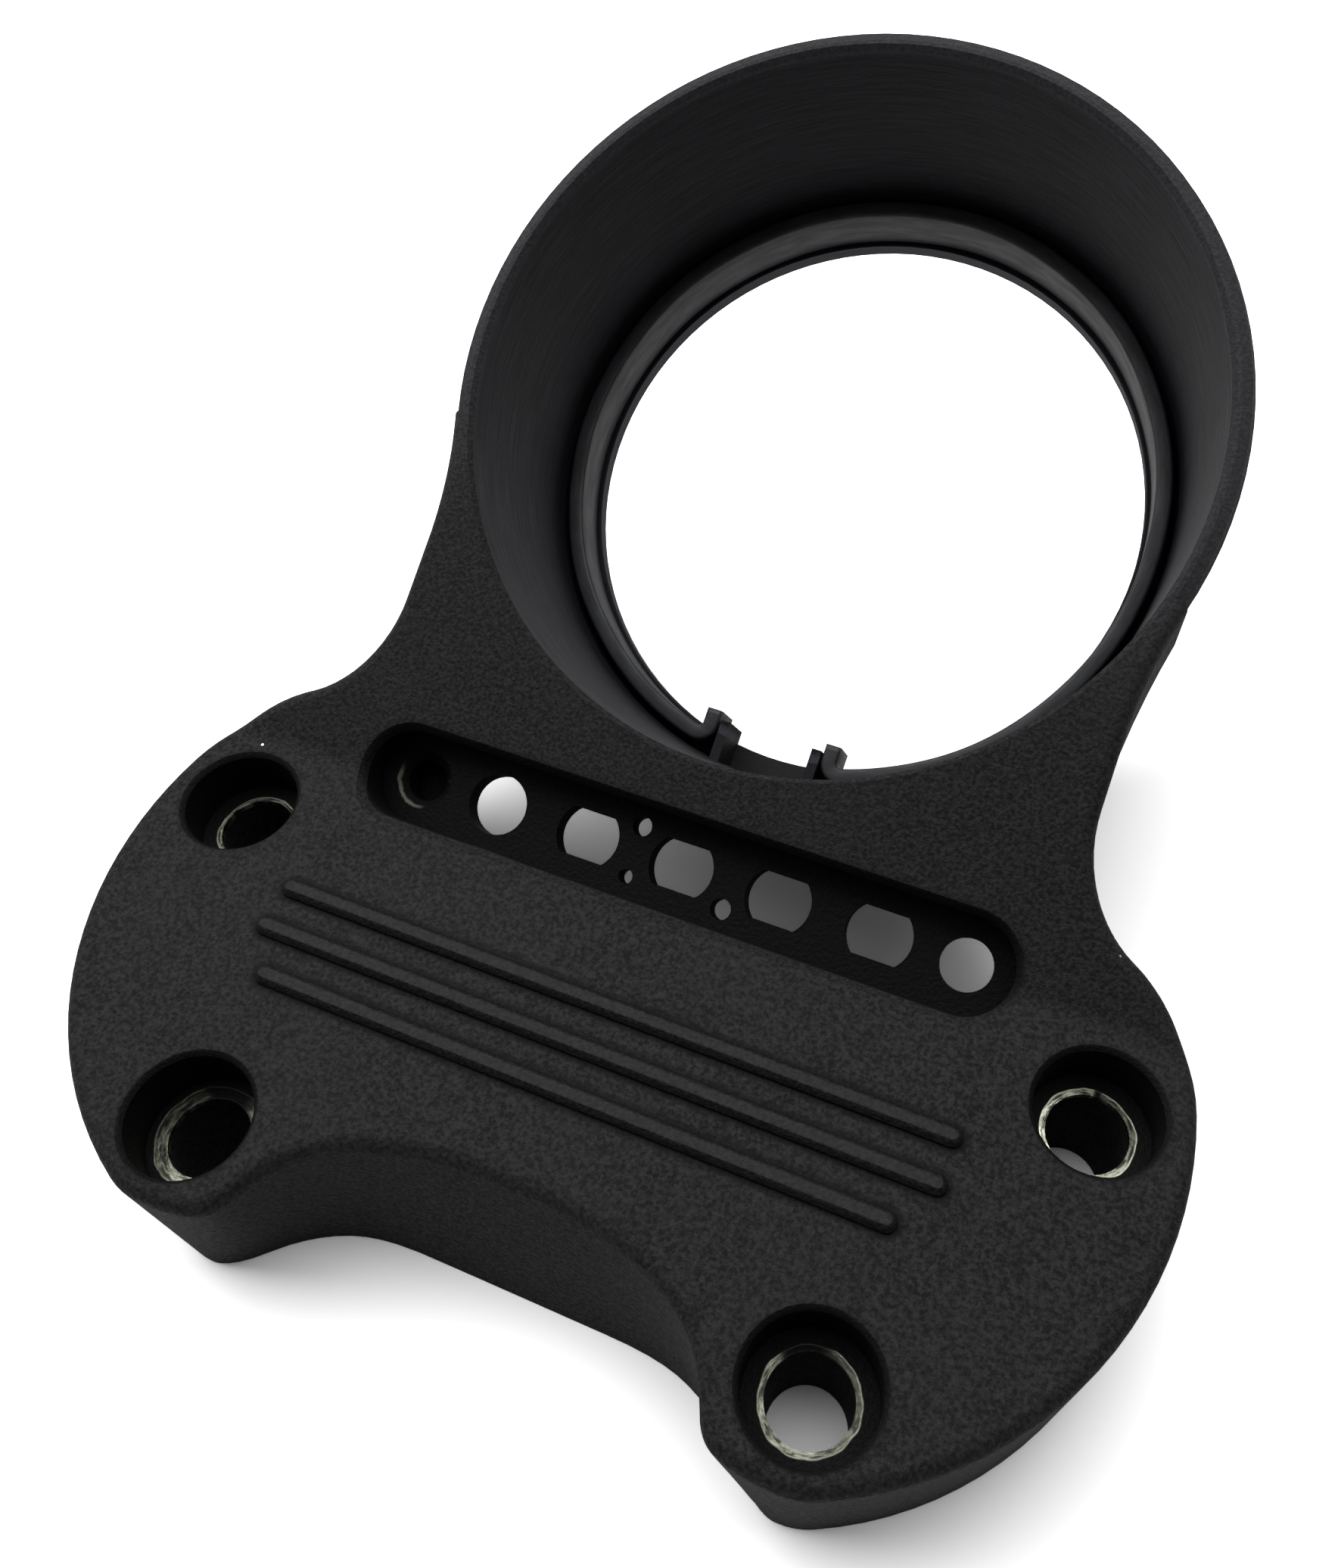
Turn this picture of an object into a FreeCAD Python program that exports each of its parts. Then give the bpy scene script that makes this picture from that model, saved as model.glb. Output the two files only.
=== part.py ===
import FreeCAD, Part
import math
import os
import Sketcher

# Speedometer bracket in millimetres. +Z is up and the two lobes point to -Y.
# The origin is on the underside, midway between the two rear bolt holes.

V = FreeCAD.Vector
UP = V(0, 0, 1)
START, END, CENTRE = range(1, 4)
H_AXIS, V_AXIS = range(-1, -3, -1)
ORIGIN = H_AXIS
TOUCH = 1e-3
MARGIN = 10

SIZES = [
    ("plate_height", "22.0", "underside to the flat top of the bolt plate"),
    ("skin_gauge", "3.5", "thickness of the top skin"),
    ("wall_gauge", "3.2", "thickness of the skirt wall"),
    ("edge_round", "1.5", "rounding along the top edge"),
    ("rear_spacing", "100.0", "between the rear bolt holes"),
    ("front_spacing", "65.5", "between the front bolt holes"),
    ("row_gap", "33.7", "from the rear bolt row to the front one"),
    ("bolt_hole_dia", "8.4", "bolt clearance hole"),
    ("seat_dia", "12.8", "counterbore for the bolt head"),
    ("seat_depth", "6.4", "plate top to the bolt seat"),
    ("seat_edge", "0.5", "bevel of the counterbore mouth"),
    ("boss_dia", "17.0", "boss round each rear bolt"),
    ("wing_margin", "9.8", "rear bolt axis out to the widest point of the wing"),
    ("side_radius", "41.0", "curve of the wing side"),
    ("lobe_radius", "8.7", "rounding of the lobe round a front bolt"),
    ("shoulder_radius", "17.5", "curve from the wing side to the neck"),
    ("neck_radius", "13.5", "hollow curve into the neck"),
    ("neck_inset", "10.9", "neck side, in from halfway between the wing side and the rim"),
    ("neck_reach", "28.0", "rear bolt row to the straight part of the neck"),
    ("neck_run", "6.2", "length of the neck's straight side"),
    ("waist_radius", "42.7", "curve from the neck out to the cup"),
    ("web_back", "10.25", "cup axis back to the end of the web inside the cup wall"),
    ("web_depth", "5.0", "depth of the web's skirt where it meets the cup"),
    ("web_start", "16.0", "where the skirt starts to rise towards the cup"),
    ("arch_rise", "14.6", "lobe tips to the arch's top edge"),
    ("arch_tip_run", "4.8", "shape of the arch's top edge, inwards from the front bolts"),
    ("arch_knee_run", "8.15", "as above"),
    ("arch_knee_rise", "1.2", "shape of the arch's top edge, back from the lobe tips"),
    ("arch_side_run", "8.75", "inwards from the front bolts"),
    ("arch_side_rise", "4.8", "back from the lobe tips"),
    ("arch_crown_run", "12.95", "inwards from the front bolts"),
    ("arch_crown_rise", "11.0", "back from the lobe tips"),
    ("foot_rise", "9.3", "lobe tips to the arch's lower edge"),
    ("foot_tip_run", "1.2", "shape of the arch's lower edge, inwards from the front bolts"),
    ("foot_knee_run", "4.15", "as above"),
    ("foot_knee_rise", "1.8", "shape of the arch's lower edge, back from the lobe tips"),
    ("foot_side_run", "6.55", "inwards from the front bolts"),
    ("foot_side_rise", "4.8", "back from the lobe tips"),
    ("foot_crown_run", "13.75", "inwards from the front bolts"),
    ("foot_crown_rise", "9.3", "back from the lobe tips"),
    ("tilt_angle", "29.3", "tilt of the neck and cup against the plate"),
    ("bend_reach", "8.65", "rear bolt row to the bend"),
    ("bend_radius", "5.0", "rounding of the bend"),
    ("rim_gap", "10.85", "bend to the near edge of the rim along the tilted face"),
    ("mouth_dia", "85.7", "mouth of the cup"),
    ("mouth_edge", "0.5", "bevel of the mouth's inner edge"),
    ("rim_width", "2.55", "width of the rim"),
    ("rim_edge", "1.6", "easing of the rim's outer edge"),
    ("wall_taper", "2.45", "how far the cup wall leans in from the mouth to the ledge"),
    ("base_wall", "2.4", "thickness of the cup wall at its base"),
    ("bevel_run", "4.6", "bevel under the base, inwards"),
    ("bevel_rise", "2.5", "bevel under the base, upwards"),
    ("cup_depth", "35.2", "rim to the base of the cup"),
    ("ledge_level", "33.2", "rim to the ledge under the gasket"),
    ("ledge_width", "3.1", "width of the ledge"),
    ("lug_level", "26.2", "rim to the top of the lugs and of the gasket"),
    ("lug_root", "0.25", "how far the lugs sink into the ledge and past the wall"),
    ("lug_width", "1.3", "thickness of each lug"),
    ("lug_stand", "2.2", "how far the lugs stand in from the lip"),
    ("lug_gap", "11.4", "between the two lugs"),
    ("gasket_slack", "0.4", "between the gasket and the wall's foot"),
    ("gasket_gauge", "2.2", "thickness of the gasket strip"),
    ("gasket_gap", "0.2", "gap between a lug and the gasket's turned end"),
    ("gasket_end", "1.2", "how far a turned end passes its lug"),
    ("slot_reach", "1.43", "bend to the slot's middle line"),
    ("slot_width", "10.6", "width of the lamp slot"),
    ("slot_depth", "4.5", "tilted face to the slot floor"),
    ("slot_edge", "0.8", "bevel of the slot's top edge"),
    ("slot_floor", "2.5", "thickness of the floor and walls round the slot"),
    ("tray_lap", "0.5", "tilted face down to the top of the slot's walls"),
    ("screw_spacing", "66.7", "between the two screw holes in the slot"),
    ("screw_dia", "5.9", "right screw hole, right through"),
    ("tap_dia", "4.9", "left screw hole, blind"),
    ("tap_mouth_dia", "6.8", "countersink of the left screw hole"),
    ("tap_depth", "3.9", "depth of the left screw hole"),
    ("tap_end", "1.0", "metal left under the left screw hole"),
    ("tap_boss_dia", "8.4", "boss round the left screw hole"),
    ("lamp_pitch", "11.75", "between neighbouring lamp holes"),
    ("lamp_dia", "7.6", "lamp holes with two flats"),
    ("lamp_flats", "5.6", "across the flats of a lamp hole"),
    ("round_lamp_dia", "7.2", "leftmost lamp hole, which has no flats"),
    ("pin_offset", "3.0", "lamp line to the small holes"),
    ("pin_upper_dia", "2.3", "small hole on the cup side"),
    ("pin_left_dia", "1.7", "small hole on the left, bolt side"),
    ("pin_right_dia", "2.4", "small hole on the right, bolt side"),
    ("rib_start", "7.92", "rear bolt row to the first rib"),
    ("rib_pitch", "5.0", "between neighbouring ribs"),
    ("rib_length", "77.2", "length of the two longer ribs"),
    ("rib_short_length", "70.6", "length of the rib nearest the lobes"),
    ("rib_width", "2.2", "width of a rib"),
    ("rib_rise", "0.9", "height of a rib"),
    ("rib_edge", "0.55", "bevel along a rib's top"),
]

doc = FreeCAD.newDocument("speedometer_bracket")
sheet = doc.addObject("Spreadsheet::Sheet", "dims")
for row, (alias, text, note) in enumerate(SIZES, start=1):
    sheet.set("A%d" % row, alias)
    sheet.set("B%d" % row, text)
    sheet.set("C%d" % row, note)
    sheet.setAlias("B%d" % row, alias)
doc.recompute()

COS = "cos(dims.tilt_angle)"
SIN = "sin(dims.tilt_angle)"
BEND_LENGTH = "dims.bend_radius * tan(dims.tilt_angle / 2)"
HALF_WIDTH = "(dims.rear_spacing / 2 + dims.wing_margin)"
RIM_RADIUS = "(dims.mouth_dia / 2 + dims.rim_width)"
WALL_FOOT = "(dims.mouth_dia / 2 - dims.wall_taper)"
LIP_RADIUS = "(%s - dims.ledge_width)" % WALL_FOOT
BASE_RADIUS = "(%s + dims.base_wall)" % WALL_FOOT
CUP_REACH = "(%s + dims.rim_gap)" % RIM_RADIUS
CUP_Y = "(dims.bend_reach + %s * %s)" % (CUP_REACH, COS)
CUP_Z = "(dims.plate_height + %s * %s)" % (CUP_REACH, SIN)
FRONT_X = "(dims.front_spacing / 2)"
SIDE_X = "(%s - dims.side_radius)" % HALF_WIDTH
SIDE_Y = ("(sqrt((dims.side_radius - dims.lobe_radius)^2 - (%s - %s)^2) - dims.row_gap)"
          % (FRONT_X, SIDE_X))
NECK_HALF = "((%s + %s) / 2 - dims.neck_inset)" % (HALF_WIDTH, RIM_RADIUS)
NECK_X = "(%s + dims.neck_radius)" % NECK_HALF
WAIST_X = "(%s + dims.waist_radius)" % NECK_HALF
WAIST_Y = "(dims.neck_reach + dims.neck_run)"
WEB_END = "(%s - dims.web_back)" % CUP_Y
TIP_Y = "(-dims.row_gap - dims.lobe_radius)"
SEAM_Y = "(%s + 1.5 * dims.arch_rise)" % TIP_Y
HOLLOW_Y = "(%s + dims.arch_rise + dims.wall_gauge)" % TIP_Y
BACK_Y = "(%s + dims.rim_width)" % WEB_END
BACK_TOP = "(dims.plate_height + (%s - dims.bend_reach) * tan(dims.tilt_angle))" % BACK_Y
FRAME_X = "(%s + %d)" % (HALF_WIDTH, MARGIN)
FRAME_FRONT = "(%s - 2 * %d)" % (TIP_Y, MARGIN)
FRAME_BACK = "(%s + %d)" % (WEB_END, MARGIN)
TAP_X = "(-dims.screw_spacing / 2)"


def number(expression):
    """Value of an expression over the sheet."""
    return float(sheet.evalExpression(expression))


def tie(obj, prop, expression):
    obj.setExpression(prop, expression)


def plane_of(body, role):
    return next(item for item in body.Origin.OriginFeatures if item.Role == role)


def new_sketch(body, name, role):
    sketch = body.newObject("Sketcher::SketchObject", name)
    sketch.AttachmentSupport = (plane_of(body, role), [""])
    sketch.MapMode = "FlatFace"
    return sketch


def level_sketch(body, name, height):
    """Sketch parallel to the underside at the given height."""
    sketch = new_sketch(body, name, "XY_Plane")
    sketch.AttachmentOffset = FreeCAD.Placement(V(0, 0, number(height)), FreeCAD.Rotation())
    tie(sketch, "AttachmentOffset.Base.z", height)
    return sketch


def tilted_sketch(body, name, rise):
    """Sketch parallel to the tilted face, its origin on the bend, raised along the cup axis."""
    sketch = new_sketch(body, name, "XY_Plane")
    base_y = "dims.bend_reach - (%s) * %s" % (rise, SIN)
    base_z = "dims.plate_height + (%s) * %s" % (rise, COS)
    turn = FreeCAD.Rotation(V(1, 0, 0), number("dims.tilt_angle"))
    sketch.AttachmentOffset = FreeCAD.Placement(V(0, number(base_y), number(base_z)), turn)
    tie(sketch, "AttachmentOffset.Base.y", base_y)
    tie(sketch, "AttachmentOffset.Base.z", base_z)
    tie(sketch, "AttachmentOffset.Rotation.Angle", "dims.tilt_angle")
    return sketch


def axis_sketch(body, name):
    """Sketch in the middle plane whose vertical axis is the cup axis and origin the rim's centre."""
    sketch = new_sketch(body, name, "YZ_Plane")
    turn = FreeCAD.Rotation(UP, number("dims.tilt_angle"))
    sketch.AttachmentOffset = FreeCAD.Placement(V(number(CUP_Y), number(CUP_Z), 0), turn)
    tie(sketch, "AttachmentOffset.Base.x", CUP_Y)
    tie(sketch, "AttachmentOffset.Base.y", CUP_Z)
    tie(sketch, "AttachmentOffset.Rotation.Angle", "dims.tilt_angle")
    return sketch


def add_dim(sketch, kind, items, expression):
    index = sketch.addConstraint(Sketcher.Constraint(kind, *items, number(expression)))
    sketch.setExpression("Constraints[%d]" % index, expression)


def add_angle(sketch, line, expression):
    """Hold the direction of a line, in degrees from the sketch's horizontal."""
    value = math.radians(number(expression))
    index = sketch.addConstraint(Sketcher.Constraint("Angle", line, value))
    sketch.setExpression("Constraints[%d]" % index, "(%s) * 1 deg" % expression)


def fix_axis(sketch, kind, axis, geo, pos, expression):
    """Hold one coordinate of a point, measured from the sketch's origin."""
    value = number(expression)
    if abs(value) < 1e-9:
        sketch.addConstraint(Sketcher.Constraint("PointOnObject", geo, pos, axis))
    elif value > 0:
        add_dim(sketch, kind, (ORIGIN, START, geo, pos), expression)
    else:
        add_dim(sketch, kind, (geo, pos, ORIGIN, START), "-(%s)" % expression)


def fix_x(sketch, geo, pos, expression):
    fix_axis(sketch, "DistanceX", V_AXIS, geo, pos, expression)


def fix_y(sketch, geo, pos, expression):
    fix_axis(sketch, "DistanceY", H_AXIS, geo, pos, expression)


def fix_point(sketch, geo, pos, x, y):
    fix_x(sketch, geo, pos, x)
    fix_y(sketch, geo, pos, y)


def add_circle(sketch, x, y, dia):
    shape = Part.Circle(V(number(x), number(y), 0), UP, number(dia) / 2)
    geo = sketch.addGeometry(shape, False)
    fix_point(sketch, geo, CENTRE, x, y)
    add_dim(sketch, "Diameter", (geo,), dia)
    return geo


def add_polygon(sketch, points):
    """Closed outline of straight lines through points given as pairs of expressions."""
    ends = [V(number(x), number(y), 0) for x, y in points]
    lines = []
    for index, start in enumerate(ends):
        finish = ends[(index + 1) % len(ends)]
        lines.append(sketch.addGeometry(Part.LineSegment(start, finish), False))
    for index, line in enumerate(lines):
        following = lines[(index + 1) % len(lines)]
        sketch.addConstraint(Sketcher.Constraint("Coincident", line, END, following, START))
    for line, (x, y) in zip(lines, points):
        fix_point(sketch, line, START, x, y)
    return lines


def add_arc(sketch, centre, radius, start, finish):
    """Arc drawn anticlockwise between two angles in radians."""
    circle = Part.Circle(V(centre[0], centre[1], 0), UP, radius)
    return sketch.addGeometry(Part.ArcOfCircle(circle, start, finish), False)


def add_line(sketch, start, finish):
    return sketch.addGeometry(Part.LineSegment(V(start[0], start[1], 0), V(finish[0], finish[1], 0)), False)


def join_smooth(sketch, first, first_pos, second, second_pos):
    sketch.addConstraint(Sketcher.Constraint("Tangent", first, first_pos, second, second_pos))


def join(sketch, first, first_pos, second, second_pos):
    sketch.addConstraint(Sketcher.Constraint("Coincident", first, first_pos, second, second_pos))


def side_arc(sketch, side, centre, radius, start, finish):
    """Arc given for the right-hand side, mirrored when side is -1. Returns it with its end numbers."""
    if side > 0:
        return add_arc(sketch, centre, radius, start, finish), START, END
    mirrored = (-centre[0], centre[1])
    return add_arc(sketch, mirrored, radius, math.pi - finish, math.pi - start), END, START


def signed(side, expression):
    if side > 0:
        return expression
    return "-(%s)" % expression


def meet_circles(first, first_radius, second, second_radius):
    """Crossing of two circles on the right of the way from the first centre to the second."""
    gap_x = second[0] - first[0]
    gap_y = second[1] - first[1]
    gap = math.hypot(gap_x, gap_y)
    along = (first_radius ** 2 - second_radius ** 2 + gap ** 2) / (2 * gap)
    aside = math.sqrt(first_radius ** 2 - along ** 2)
    return (first[0] + (gap_x * along + gap_y * aside) / gap,
            first[1] + (gap_y * along - gap_x * aside) / gap)


def angle_to(start, finish):
    return math.atan2(finish[1] - start[1], finish[0] - start[0])


def draw_wings(sketch, inset, front):
    """Plan outline of the wings and neck, drawn in by inset and closed straight at front and back."""
    step = number(inset)
    side_centre = (number(SIDE_X), number(SIDE_Y))
    neck_centre = (number(NECK_X), number("dims.neck_reach"))
    waist_centre = (number(WAIST_X), number(WAIST_Y))
    side_r = number("dims.side_radius") - step
    shoulder_r = number("dims.shoulder_radius") - step
    neck_r = number("dims.neck_radius") + step
    waist_r = number("dims.waist_radius") + step
    shoulder_centre = meet_circles(side_centre, side_r - shoulder_r, neck_centre, shoulder_r + neck_r)
    front_y = number(front)
    back_y = number(WEB_END)
    neck_x = neck_centre[0] - neck_r
    front_angle = math.asin((front_y - side_centre[1]) / side_r)
    shoulder_angle = angle_to(side_centre, shoulder_centre)
    neck_angle = angle_to(shoulder_centre, neck_centre)
    back_angle = math.asin((back_y - waist_centre[1]) / waist_r)
    front_ends = []
    back_ends = []
    for side in (1, -1):
        wing, wing_a, wing_b = side_arc(sketch, side, side_centre, side_r, front_angle, shoulder_angle)
        shoulder, shoulder_a, shoulder_b = side_arc(sketch, side, shoulder_centre, shoulder_r,
                                                    shoulder_angle, neck_angle)
        neck, neck_b, neck_a = side_arc(sketch, side, neck_centre, neck_r, math.pi, math.pi + neck_angle)
        waist, waist_b, waist_a = side_arc(sketch, side, waist_centre, waist_r,
                                           math.pi - back_angle, math.pi)
        straight = add_line(sketch, (side * neck_x, neck_centre[1]), (side * neck_x, waist_centre[1]))
        sketch.addConstraint(Sketcher.Constraint("Vertical", straight))
        fix_point(sketch, wing, CENTRE, signed(side, SIDE_X), SIDE_Y)
        fix_point(sketch, neck, CENTRE, signed(side, NECK_X), "dims.neck_reach")
        fix_point(sketch, waist, CENTRE, signed(side, WAIST_X), WAIST_Y)
        add_dim(sketch, "Radius", (wing,), "dims.side_radius - %s" % inset)
        add_dim(sketch, "Radius", (shoulder,), "dims.shoulder_radius - %s" % inset)
        add_dim(sketch, "Radius", (neck,), "dims.neck_radius + %s" % inset)
        join_smooth(sketch, wing, wing_b, shoulder, shoulder_a)
        join_smooth(sketch, shoulder, shoulder_b, neck, neck_a)
        join_smooth(sketch, neck, neck_b, straight, START)
        join_smooth(sketch, straight, END, waist, waist_a)
        fix_y(sketch, wing, wing_a, front)
        fix_y(sketch, waist, waist_b, WEB_END)
        front_ends.append((wing, wing_a))
        back_ends.append((waist, waist_b))
    for right, left in (front_ends, back_ends):
        first = sketch.getPoint(*right)
        second = sketch.getPoint(*left)
        line = add_line(sketch, (first.x, first.y), (second.x, second.y))
        join(sketch, line, START, *right)
        join(sketch, line, END, *left)


def draw_bent_slab(sketch, lower, bottom):
    """Side view of the plate and neck: a flat top that bends up, lowered by the given amount."""
    drop = number(lower)
    tilt = math.radians(number("dims.tilt_angle"))
    radius = number("dims.bend_radius") + drop
    centre_y = "dims.bend_reach - %s" % BEND_LENGTH
    centre_z = "dims.plate_height + dims.bend_radius"
    front = "(%s - %d)" % (TIP_Y, MARGIN)
    front_y = number(front)
    back_y = number(BACK_Y)
    back_top = number(BACK_TOP) - drop / math.cos(tilt)
    arc = add_arc(sketch, (number(centre_y), number(centre_z)), radius, -math.pi / 2, tilt - math.pi / 2)
    begin = sketch.getPoint(arc, START)
    finish = sketch.getPoint(arc, END)
    flat = add_line(sketch, (front_y, begin.y), (begin.x, begin.y))
    ramp = add_line(sketch, (finish.x, finish.y), (back_y, back_top))
    points = [(number(y), number(z)) for y, z in bottom]
    chain = [add_line(sketch, (back_y, back_top), points[0])]
    for start, stop in zip(points, points[1:]):
        chain.append(add_line(sketch, start, stop))
    chain.append(add_line(sketch, points[-1], (front_y, begin.y)))
    sketch.addConstraint(Sketcher.Constraint("Horizontal", flat))
    join_smooth(sketch, flat, END, arc, START)
    join_smooth(sketch, arc, END, ramp, START)
    fix_point(sketch, arc, CENTRE, centre_y, centre_z)
    add_dim(sketch, "Radius", (arc,), "dims.bend_radius + %s" % lower)
    fix_x(sketch, flat, START, front)
    fix_x(sketch, ramp, END, BACK_Y)
    add_angle(sketch, ramp, "dims.tilt_angle")
    join(sketch, ramp, END, chain[0], START)
    for before, after in zip(chain, chain[1:]):
        join(sketch, before, END, after, START)
    join(sketch, chain[-1], END, flat, START)
    for line, (y, z) in zip(chain, bottom):
        fix_point(sketch, line, END, y, z)


def add_curve(sketch, poles):
    """Smooth curve steered by poles given as pairs of expressions. Its two ends are left free."""
    points = [V(number(x), number(y), 0) for x, y in poles]
    curve = sketch.addGeometry(Part.BSplineCurve(points, None, None, False, 3, None, False), False)
    for index, (point, (x, y)) in enumerate(zip(points, poles)):
        mark = sketch.addGeometry(Part.Circle(point, UP, 1), True)
        sketch.addConstraint(Sketcher.Constraint("InternalAlignment:Sketcher::BSplineControlPoint",
                                                 mark, CENTRE, curve, index))
        sketch.addConstraint(Sketcher.Constraint("Weight", mark, 1.0))
        if 0 < index < len(poles) - 1:
            fix_point(sketch, mark, CENTRE, x, y)
    return curve


def front_poles(edge):
    """Poles of the arch's top edge or lower edge, from the right lobe tip to the left one."""
    crown_x = "(%s - dims.%s_crown_run)" % (FRONT_X, edge)
    apex_y = "(%s + dims.%s_rise)" % (TIP_Y, edge)
    right = [(FRONT_X, TIP_Y), ("(%s - dims.%s_tip_run)" % (FRONT_X, edge), TIP_Y)]
    for place in ("knee", "side", "crown"):
        right.append(("(%s - dims.%s_%s_run)" % (FRONT_X, edge, place),
                      "(%s + dims.%s_%s_rise)" % (TIP_Y, edge, place)))
    right.append(("(0.45 * %s)" % crown_x, apex_y))
    left = [("-%s" % x, y) for x, y in reversed(right)]
    return right + [("0", apex_y)] + left


def draw_front(sketch, edge):
    """Plan outline of the lobed front at the height of the arch's top edge or lower edge."""
    side_centre = (number(SIDE_X), number(SIDE_Y))
    lobe_centre = (number(FRONT_X), -number("dims.row_gap"))
    side_r = number("dims.side_radius")
    back_angle = math.asin((number(SEAM_Y) - side_centre[1]) / side_r)
    lobe_angle = angle_to(side_centre, lobe_centre)
    arch = add_curve(sketch, front_poles(edge))
    seam_ends = []
    for side, arch_end in ((1, START), (-1, END)):
        wing, wing_a, wing_b = side_arc(sketch, side, side_centre, side_r, lobe_angle, back_angle)
        lobe, lobe_a, lobe_b = side_arc(sketch, side, lobe_centre, number("dims.lobe_radius"),
                                        -math.pi / 2, lobe_angle)
        fix_x(sketch, wing, CENTRE, signed(side, SIDE_X))
        fix_y(sketch, wing, wing_b, SEAM_Y)
        fix_point(sketch, lobe, CENTRE, signed(side, FRONT_X), "-dims.row_gap")
        fix_x(sketch, lobe, lobe_a, signed(side, FRONT_X))
        add_dim(sketch, "Radius", (wing,), "dims.side_radius")
        add_dim(sketch, "Radius", (lobe,), "dims.lobe_radius")
        join_smooth(sketch, wing, wing_a, lobe, lobe_b)
        join(sketch, lobe, lobe_a, arch, arch_end)
        seam_ends.append((wing, wing_b))
    right, left = seam_ends
    first = sketch.getPoint(*right)
    second = sketch.getPoint(*left)
    seam = add_line(sketch, (first.x, first.y), (second.x, second.y))
    join(sketch, seam, START, *right)
    join(sketch, seam, END, *left)


def draw_cup_outside(sketch):
    """Half section of the cup as a solid: rim eased in two steps, tapered wall and bevelled base."""
    step = "dims.rim_edge * (1 - cos(45))"
    add_polygon(sketch, [("0", "0"), ("%s - dims.rim_edge" % RIM_RADIUS, "0"),
                         ("%s - %s" % (RIM_RADIUS, step), "-%s" % step), (RIM_RADIUS, "-dims.rim_edge"),
                         (BASE_RADIUS, "dims.bevel_rise - dims.cup_depth"),
                         ("%s - dims.bevel_run" % BASE_RADIUS, "-dims.cup_depth"), ("0", "-dims.cup_depth")])


def draw_cup_inside(sketch):
    """Half section of the space in the cup, from above the rim to below the base."""
    below = "-dims.cup_depth - %d" % MARGIN
    above = "%d" % MARGIN
    edge_x = "dims.mouth_dia / 2 + dims.mouth_edge"
    add_polygon(sketch, [("dims.mouth_dia / 2", "-dims.mouth_edge"), (WALL_FOOT, "-dims.ledge_level"),
                         (LIP_RADIUS, "-dims.ledge_level"), (LIP_RADIUS, below), ("0", below),
                         ("0", above), (edge_x, above), (edge_x, "0")])


def draw_slot(sketch, half_length, width, y):
    """Round-ended slot along X."""
    half = number(half_length)
    radius = number(width) / 2
    mid = number(y)
    right = add_arc(sketch, (half, mid), radius, -math.pi / 2, math.pi / 2)
    left = add_arc(sketch, (-half, mid), radius, math.pi / 2, 1.5 * math.pi)
    upper = add_line(sketch, (half, mid + radius), (-half, mid + radius))
    lower = add_line(sketch, (-half, mid - radius), (half, mid - radius))
    join_smooth(sketch, right, END, upper, START)
    join_smooth(sketch, upper, END, left, START)
    join_smooth(sketch, left, END, lower, START)
    join_smooth(sketch, lower, END, right, START)
    fix_point(sketch, right, CENTRE, half_length, y)
    fix_point(sketch, left, CENTRE, "-(%s)" % half_length, y)
    add_dim(sketch, "Radius", (right,), "(%s) / 2" % width)
    sketch.addConstraint(Sketcher.Constraint("Equal", left, right))


def draw_flatted_hole(sketch, x, y, dia, flats):
    """Round hole with two flats parallel to X."""
    radius = number(dia) / 2
    half = number(flats) / 2
    mid = V(number(x), number(y), 0)
    turn = math.asin(half / radius)
    right = add_arc(sketch, (mid.x, mid.y), radius, -turn, turn)
    left = add_arc(sketch, (mid.x, mid.y), radius, math.pi - turn, math.pi + turn)
    reach = radius * math.cos(turn)
    upper = add_line(sketch, (mid.x + reach, mid.y + half), (mid.x - reach, mid.y + half))
    lower = add_line(sketch, (mid.x - reach, mid.y - half), (mid.x + reach, mid.y - half))
    join(sketch, right, END, upper, START)
    join(sketch, upper, END, left, START)
    join(sketch, left, END, lower, START)
    join(sketch, lower, END, right, START)
    join(sketch, left, CENTRE, right, CENTRE)
    fix_point(sketch, right, CENTRE, x, y)
    add_dim(sketch, "Radius", (right,), "(%s) / 2" % dia)
    fix_y(sketch, right, END, "%s + %s / 2" % (y, flats))
    fix_y(sketch, right, START, "%s - %s / 2" % (y, flats))
    fix_y(sketch, left, START, "%s + %s / 2" % (y, flats))
    fix_y(sketch, left, END, "%s - %s / 2" % (y, flats))
    sketch.addConstraint(Sketcher.Constraint("Equal", left, right))


def pad(body, name, sketch, length, reverse=False):
    feature = body.newObject("PartDesign::Pad", name)
    feature.Profile = sketch
    feature.Reversed = reverse
    tie(feature, "Length", length)
    doc.recompute()
    return feature


def pocket(body, name, sketch, length=None, reverse=False):
    """Cut against the sketch's normal, or along it when reversed. No length cuts right through."""
    feature = body.newObject("PartDesign::Pocket", name)
    feature.Profile = sketch
    feature.Reversed = reverse
    if length is None:
        feature.Type = "ThroughAll"
    else:
        tie(feature, "Length", length)
    doc.recompute()
    return feature


def turned(body, kind, name, sketch):
    feature = body.newObject("PartDesign::" + kind, name)
    feature.Profile = sketch
    feature.ReferenceAxis = (sketch, ["V_Axis"])
    feature.Angle = 360
    doc.recompute()
    return feature


def edge_names(base, wanted):
    return ["Edge%d" % index for index, edge in enumerate(base.Shape.Edges, start=1) if wanted(edge)]


def rounded(body, name, base, radius, wanted):
    """Round every edge of the base feature for which wanted(edge) is true."""
    feature = body.newObject("PartDesign::Fillet", name)
    feature.Base = (base, edge_names(base, wanted))
    tie(feature, "Radius", radius)
    doc.recompute()
    return feature


def bevelled(body, name, base, size, wanted):
    """Bevel every edge of the base feature for which wanted(edge) is true."""
    feature = body.newObject("PartDesign::Chamfer", name)
    feature.Base = (base, edge_names(base, wanted))
    tie(feature, "Size", size)
    doc.recompute()
    return feature


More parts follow.
